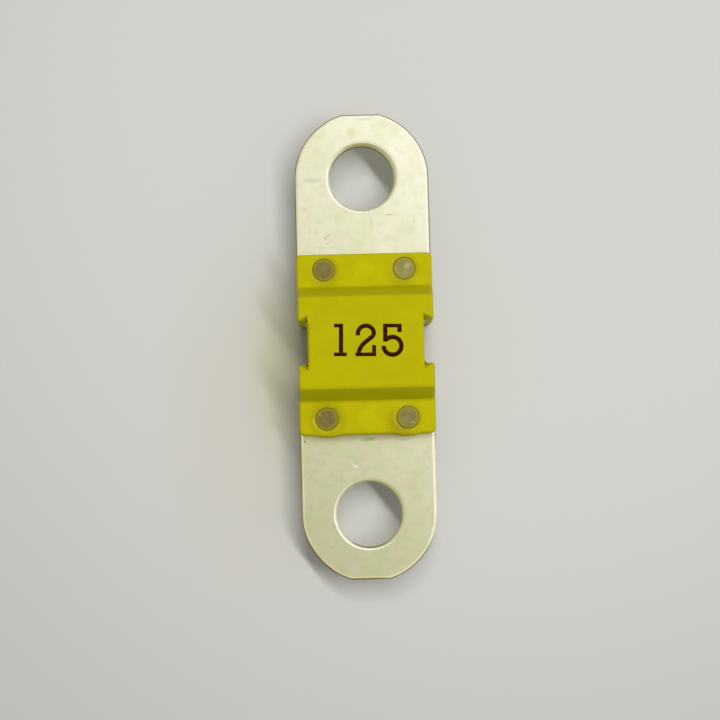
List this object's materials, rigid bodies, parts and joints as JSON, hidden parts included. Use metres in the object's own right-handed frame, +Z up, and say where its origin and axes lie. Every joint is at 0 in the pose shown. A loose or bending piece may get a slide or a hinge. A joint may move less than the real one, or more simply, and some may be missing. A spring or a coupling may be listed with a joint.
{
  "type": "bolt down strip fuse",
  "caption": "Bolt down strip fuse: a flat plated strip with round ended lugs and bolt holes, clamped in a stepped moulded housing with side notches.",
  "frame": {"origin": "under the middle of the lower housing, on the surface that the fuse lies on", "axes": "+Z up out of the printed face, +Y along the strip, +X across it"},
  "size_m": [0.012, 0.0416, 0.0085],
  "materials": {
    "tin_plate": "satin tin plate with light handling marks",
    "tin": "dull cast tin",
    "natural_plastic": "uncoloured moulding, slightly cloudy",
    "yellow_plastic": "fine moulded satin"
  },
  "bodies": {
    "root": {"fuse_strip": "tin_plate", "link_pellet": "tin", "lower_housing": "natural_plastic", "upper_housing": "yellow_plastic"}
  },
  "joints": []
}
